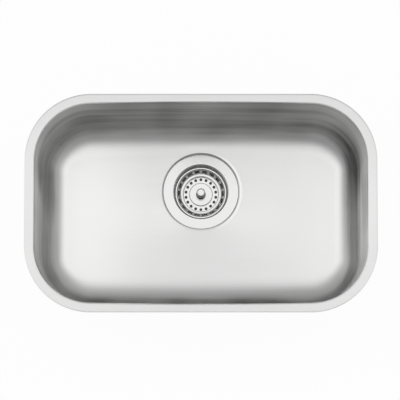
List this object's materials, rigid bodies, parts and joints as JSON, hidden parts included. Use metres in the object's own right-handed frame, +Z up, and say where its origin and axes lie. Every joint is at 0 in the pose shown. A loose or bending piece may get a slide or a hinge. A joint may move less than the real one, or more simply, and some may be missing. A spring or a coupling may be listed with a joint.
{
  "type": "undermount kitchen sink",
  "caption": "Rectangular steel undermount sink bowl with a flat flange, rounded corners, a rear drain and a lift-out basket strainer.",
  "frame": {"origin": "centre of the bowl's opening, on the flange's top face, which lies against the underside of the worktop", "axes": "+X to the right along the bowl's long side, +Y to the back, where the drain is, +Z up, out of the bowl"},
  "size_m": [0.53, 0.33, 0.262],
  "materials": {
    "satin_steel": "satin stainless steel, brushed along the walls",
    "pad_rubber": "matt sound pad",
    "strainer_steel": "pressed and polished stainless steel",
    "seal_foam": "closed-cell foam",
    "seal_rubber": "moulded rubber",
    "black_plastic": "moulded, fine grain",
    "brass": "turned",
    "screw_steel": "turned stainless steel",
    "basket_steel": "polished stainless steel",
    "grey_plastic": "moulded"
  },
  "bodies": {
    "sink": {"bowl_shell": "satin_steel", "floor_pad_left": "pad_rubber", "floor_pad_right": "pad_rubber", "wall_pad_front": "pad_rubber", "wall_pad_back": "pad_rubber", "wall_pad_left": "pad_rubber", "wall_pad_right": "pad_rubber", "strainer_dish": "strainer_steel", "dish_seal": "seal_foam", "body_seal": "seal_rubber", "waste_body": "black_plastic", "brass_insert": "brass", "centre_screw": "screw_steel", "screw_washer": "screw_steel"},
    "stem": {"basket_stem": "screw_steel", "stem_clip": "screw_steel", "stem_ring": "seal_rubber"},
    "basket": {"basket_cup": "basket_steel", "basket_knob": "basket_steel", "basket_hub": "grey_plastic", "seal_plate": "basket_steel", "basket_seal": "seal_rubber", "seal_washer": "screw_steel"}
  },
  "joints": [
    {"name": "basket_lift", "type": "slide", "parent": "sink", "child": "stem", "axis": [0, 0, 1], "range_m": [0, 0.25]},
    {"name": "basket_turn", "type": "hinge", "parent": "stem", "child": "basket", "pos_m": [0, 0.04, -0.197], "axis": [0, 0, 1], "continuous": true}
  ]
}
